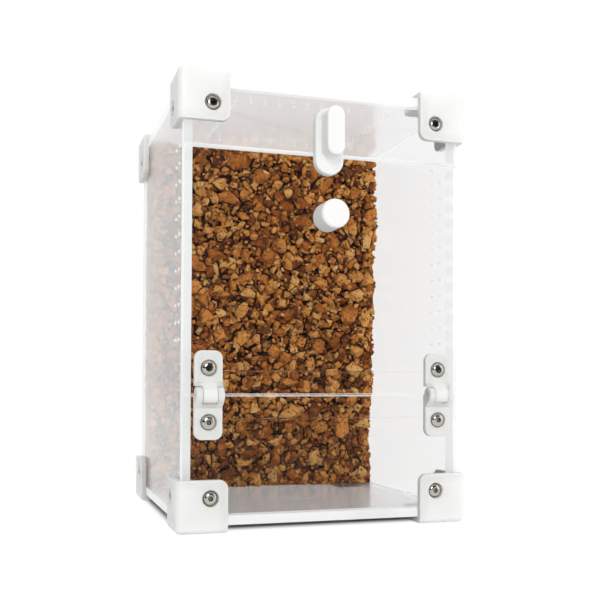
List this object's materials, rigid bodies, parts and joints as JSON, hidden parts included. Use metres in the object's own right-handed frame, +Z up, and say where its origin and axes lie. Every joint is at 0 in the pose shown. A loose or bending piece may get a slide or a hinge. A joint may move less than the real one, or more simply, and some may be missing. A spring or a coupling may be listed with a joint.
{
  "type": "acrylic ant habitat",
  "caption": "Upright clear acrylic insect case with printed corner brackets, a drop-down front door, a turn latch and a cork background.",
  "frame": {"origin": "on the ground, under the middle of the square acrylic case", "axes": "+Z up, front with the door towards -Y, +X to the right seen from the front"},
  "size_m": [0.1568, 0.169, 0.2318],
  "materials": {
    "clear_acrylic": "polished clear sheet",
    "white_print": "satin",
    "stainless_steel": "polished",
    "granulated_cork": "matte"
  },
  "bodies": {
    "root": {"base_panel": "clear_acrylic", "top_panel": "clear_acrylic", "left_wall": "clear_acrylic", "right_wall": "clear_acrylic", "back_wall": "clear_acrylic", "lower_front_panel": "clear_acrylic", "upper_front_strip": "clear_acrylic", "cork_background": "granulated_cork", "bottom_front_left_bracket": "white_print", "bottom_front_right_bracket": "white_print", "bottom_back_left_bracket": "white_print", "bottom_back_right_bracket": "white_print", "top_front_left_bracket": "white_print", "top_front_right_bracket": "white_print", "top_back_left_bracket": "white_print", "top_back_right_bracket": "white_print", "front_bracket_screws": "stainless_steel", "back_bracket_screws": "stainless_steel", "left_bracket_screws": "stainless_steel", "right_bracket_screws": "stainless_steel", "bottom_bracket_screws": "stainless_steel", "top_bracket_screws": "stainless_steel", "left_hinge_lower_leaf": "white_print", "right_hinge_lower_leaf": "white_print", "left_hinge_pin": "stainless_steel", "right_hinge_pin": "stainless_steel", "lower_hinge_screws": "stainless_steel"},
    "door": {"door_panel": "clear_acrylic", "left_hinge_door_leaf": "white_print", "right_hinge_door_leaf": "white_print", "door_hinge_screws": "stainless_steel", "door_knob": "white_print", "door_knob_screw": "stainless_steel"},
    "latch": {"turn_latch": "white_print", "latch_pivot_screw": "stainless_steel"}
  },
  "joints": [
    {"name": "door_hinge", "type": "hinge", "parent": "root", "child": "door", "pos_m": [0, -0.0798, 0.0684], "axis": [1, 0, 0], "range_deg": [0, 120]},
    {"name": "latch_turn", "type": "hinge", "parent": "root", "child": "latch", "pos_m": [0, -0.0756, 0.2034], "axis": [0, -1, 0], "continuous": true}
  ]
}
